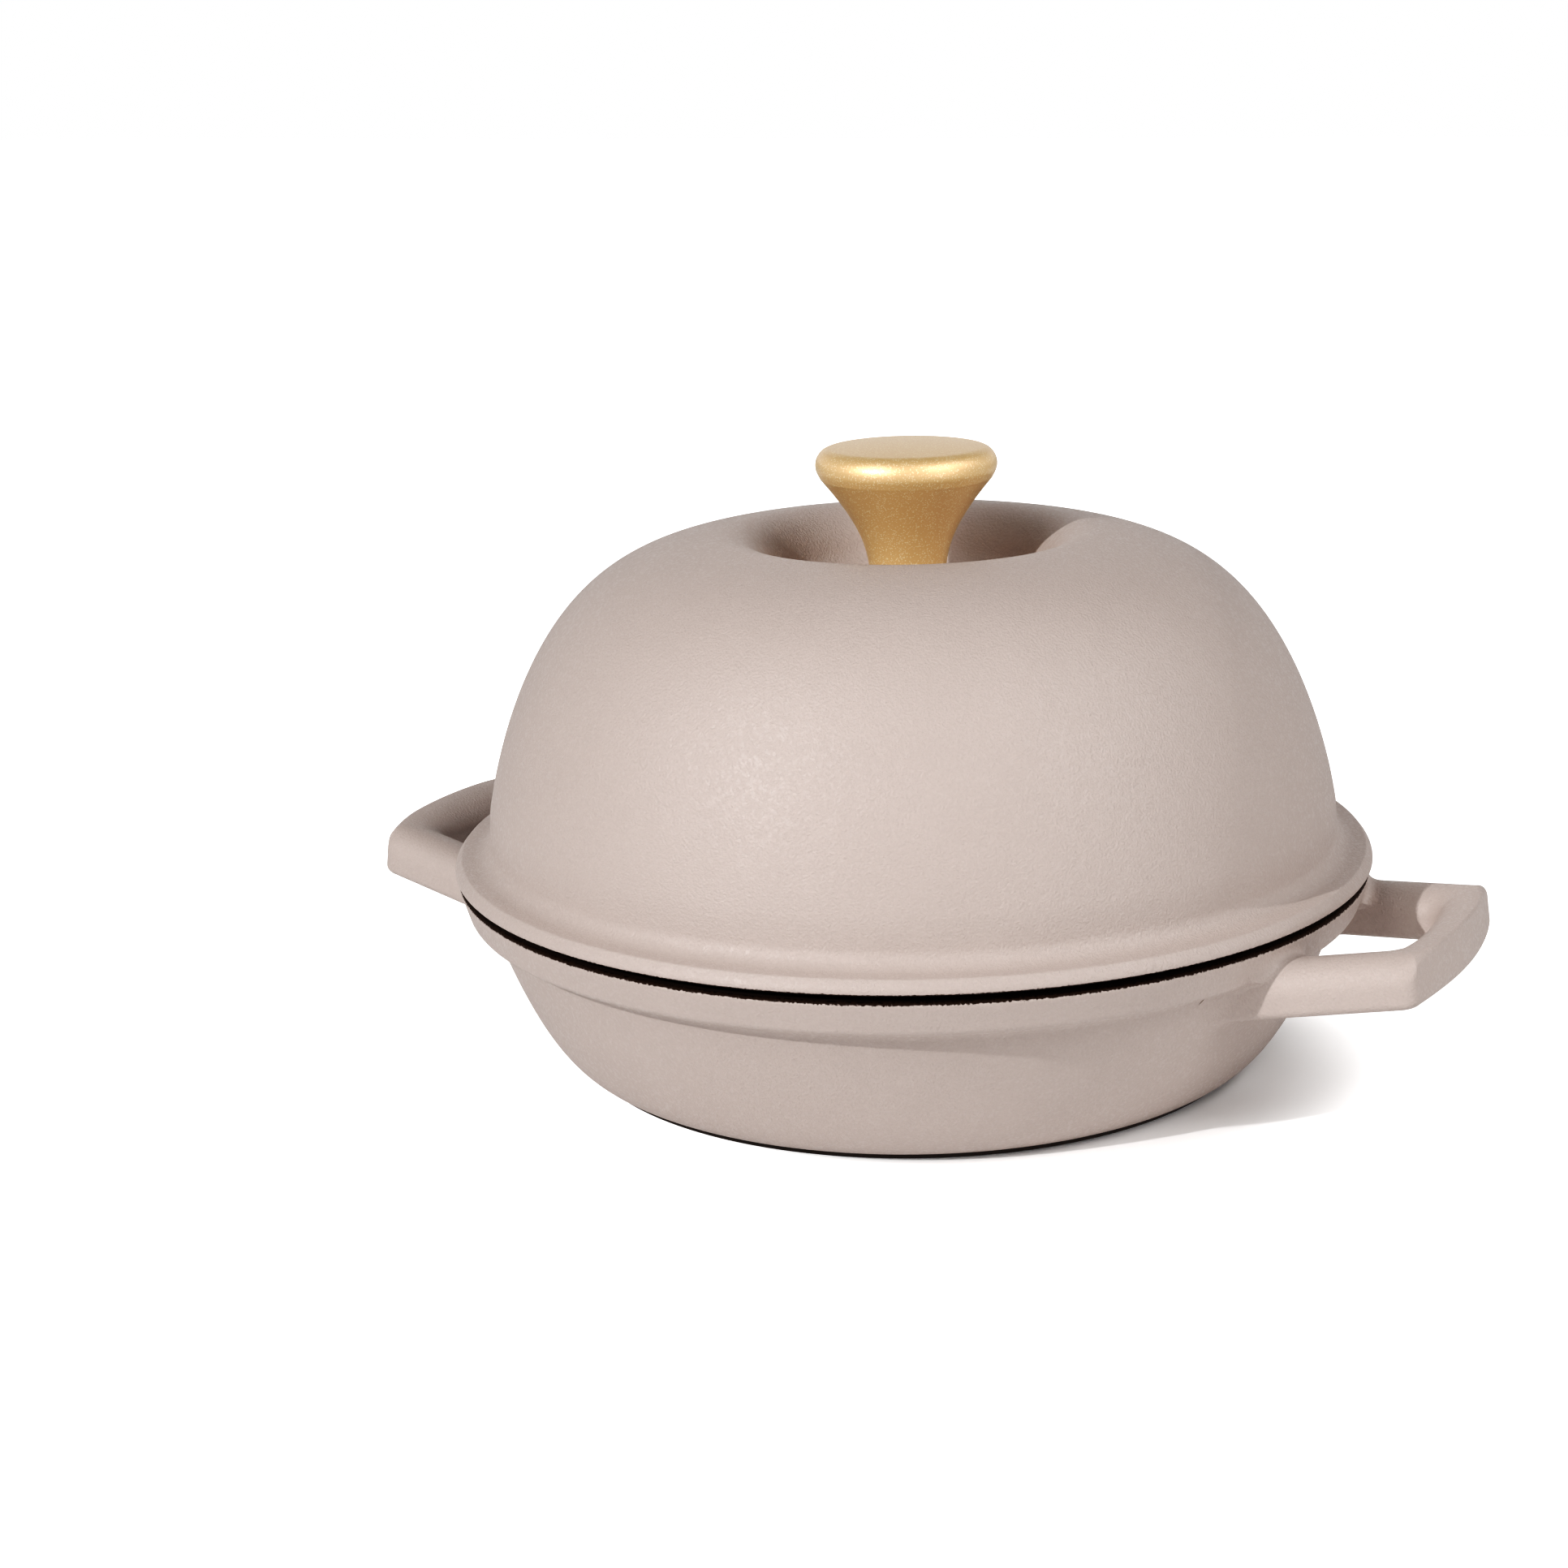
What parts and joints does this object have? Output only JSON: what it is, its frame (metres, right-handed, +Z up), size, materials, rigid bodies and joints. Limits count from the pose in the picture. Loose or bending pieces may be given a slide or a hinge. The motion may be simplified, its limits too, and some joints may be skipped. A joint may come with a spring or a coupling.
{
  "type": "bread_oven",
  "caption": "Enamelled cast iron bread oven in matt taupe: a shallow pan with loop handles at its sides and a tall domed lid with a recessed gold knob",
  "frame": {"origin": "On the pan's axis, on the surface that the foot ring stands on", "axes": "+Z up the pan's axis, +X through the middle of one handle, +Y to the left of it, the two handles being alike"},
  "size_m": [0.3434, 0.2742, 0.1818],
  "materials": {
    "enamelled_iron": "matt taupe enamel outside with a fine grain, matt black enamel on the rims and inside",
    "gold_knob": "satin gold with fine metallic flakes",
    "seal_silicone": "matt dark silicone",
    "fastening_steel": "bright stainless steel"
  },
  "bodies": {
    "base": {"base_pan": "enamelled_iron"},
    "lid": {"lid_dome": "enamelled_iron", "knob": "gold_knob", "knob_seal": "seal_silicone", "flat_washer": "fastening_steel", "lock_washer": "fastening_steel", "knob_screw": "fastening_steel"}
  },
  "joints": [
    {"name": "lid_lift", "type": "slide", "parent": "base", "child": "lid", "axis": [0, 0, 1], "range_m": [0, 0.15]}
  ]
}
